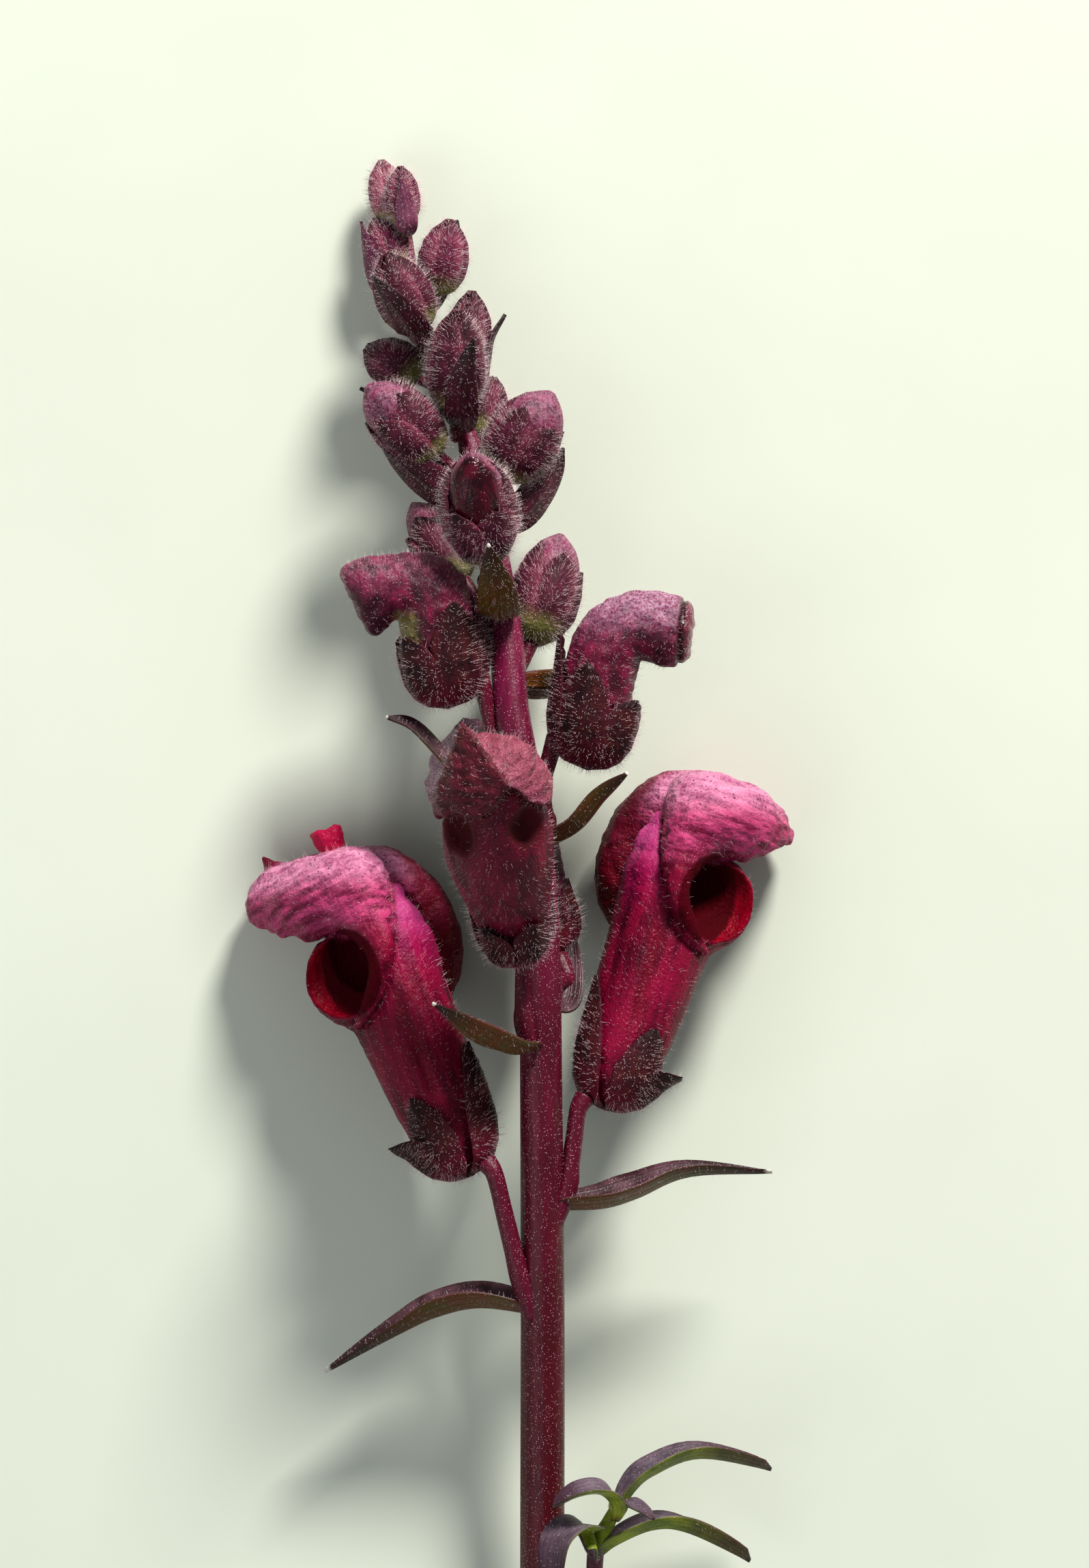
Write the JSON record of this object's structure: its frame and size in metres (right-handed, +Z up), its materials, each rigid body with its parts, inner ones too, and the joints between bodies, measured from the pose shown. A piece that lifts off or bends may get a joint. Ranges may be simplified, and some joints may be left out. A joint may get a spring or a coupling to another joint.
{
  "type": "snapdragon stem",
  "caption": "Cut flowering stem of a dark crimson snapdragon with open lipped flowers, hooded and closed hairy buds, narrow bracts and a small leafy side shoot, lying on its side.",
  "frame": {"origin": "under the middle of the whole stem's bounding box, on the surface that it lies on", "axes": "+Y along the stem from its cut end to its growing tip, +X to the side that the second open flower points to, +Z up from the surface that the stem lies on"},
  "size_m": [0.0562, 0.178, 0.0446],
  "materials": {
    "stem": "satin",
    "petal": "satin",
    "sepal": "matte",
    "bract": "satin",
    "leaf": "satin"
  },
  "bodies": {
    "root": {"stem": "stem", "flower_01_corolla": "petal", "flower_01_calyx": "sepal", "flower_02_corolla": "petal", "flower_02_calyx": "sepal", "flower_03_corolla": "petal", "flower_03_calyx": "sepal", "flower_04_corolla": "petal", "flower_04_calyx": "sepal", "flower_05_corolla": "petal", "flower_05_calyx": "sepal", "flower_06_corolla": "petal", "flower_06_calyx": "sepal", "bud_07_corolla": "petal", "bud_07_calyx": "sepal", "bud_08_corolla": "petal", "bud_08_calyx": "sepal", "bud_09_corolla": "petal", "bud_09_calyx": "sepal", "bud_10_corolla": "petal", "bud_10_calyx": "sepal", "bud_11_corolla": "petal", "bud_11_calyx": "sepal", "bud_12": "sepal", "bud_13": "sepal", "bud_14": "sepal", "bud_15": "sepal", "bud_16": "sepal", "bud_17": "sepal", "bud_18": "sepal", "bud_19": "sepal", "bud_20": "sepal", "flower_01_bract": "bract", "flower_02_bract": "bract", "flower_03_bract": "bract", "flower_04_bract": "bract", "flower_05_bract": "bract", "flower_06_bract": "bract", "bud_07_bract": "bract", "bud_08_bract": "bract", "bud_09_bract": "bract", "bud_10_bract": "bract", "bud_11_bract": "bract", "bud_12_bract": "bract", "bud_13_bract": "bract", "bud_14_bract": "bract", "bud_15_bract": "bract", "bud_16_bract": "bract", "bud_17_bract": "bract", "bud_18_bract": "bract", "bud_19_bract": "bract", "bud_20_bract": "bract", "side_shoot": "leaf"}
  },
  "joints": []
}
